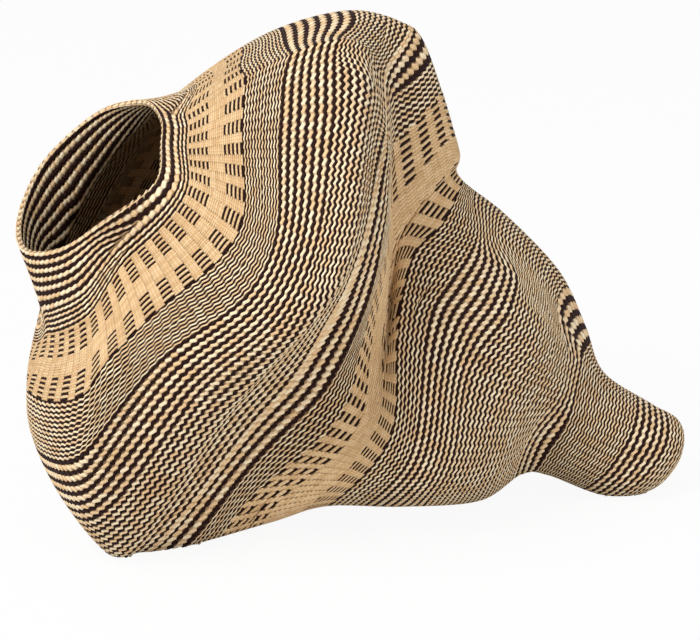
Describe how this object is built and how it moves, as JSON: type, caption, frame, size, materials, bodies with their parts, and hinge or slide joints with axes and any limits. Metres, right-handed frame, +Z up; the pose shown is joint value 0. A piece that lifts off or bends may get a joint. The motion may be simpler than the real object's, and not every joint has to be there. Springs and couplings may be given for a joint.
{
  "type": "bolga basket",
  "caption": "Free-form twined grass basket lying on its side, with a tilted oval mouth, a folded belly and a narrow closed tail, in natural and dark striped weave.",
  "frame": {"origin": "middle of the basket's box, on the floor that it lies on", "axes": "+X from the mouth side to the tail side, +Y away from the viewer of the picture, +Z up"},
  "size_m": [0.6154, 0.3992, 0.4709],
  "materials": {
    "border_grass": "dry straw, matt with a faint sheen",
    "natural_weave": "natural straw twining with short dark dashes",
    "fine_weave": "single rows of dark and natural straw by turns",
    "bold_weave": "thick rows of dark and natural straw by turns",
    "stake_grass": "dry natural grass stems"
  },
  "bodies": {
    "root": {"rim_border": "border_grass", "neck_striped_band": "bold_weave", "collar_natural_band": "natural_weave", "shoulder_fine_band": "fine_weave", "shoulder_bold_band": "bold_weave", "body_fine_band": "fine_weave", "body_bold_band": "bold_weave", "fold_fine_band": "fine_weave", "fold_natural_band": "natural_weave", "lobe_fine_band": "fine_weave", "lobe_bold_band": "bold_weave", "hip_fine_band": "fine_weave", "waist_bold_band": "bold_weave", "tail_fine_band": "fine_weave", "tail_bold_band": "bold_weave", "tail_end_band": "fine_weave", "base_start": "border_grass", "warp_stake_01": "stake_grass", "warp_stake_02": "stake_grass", "warp_stake_03": "stake_grass", "warp_stake_04": "stake_grass", "warp_stake_05": "stake_grass", "warp_stake_06": "stake_grass", "warp_stake_07": "stake_grass", "warp_stake_08": "stake_grass", "warp_stake_09": "stake_grass", "warp_stake_10": "stake_grass", "warp_stake_11": "stake_grass", "warp_stake_12": "stake_grass"}
  },
  "joints": []
}
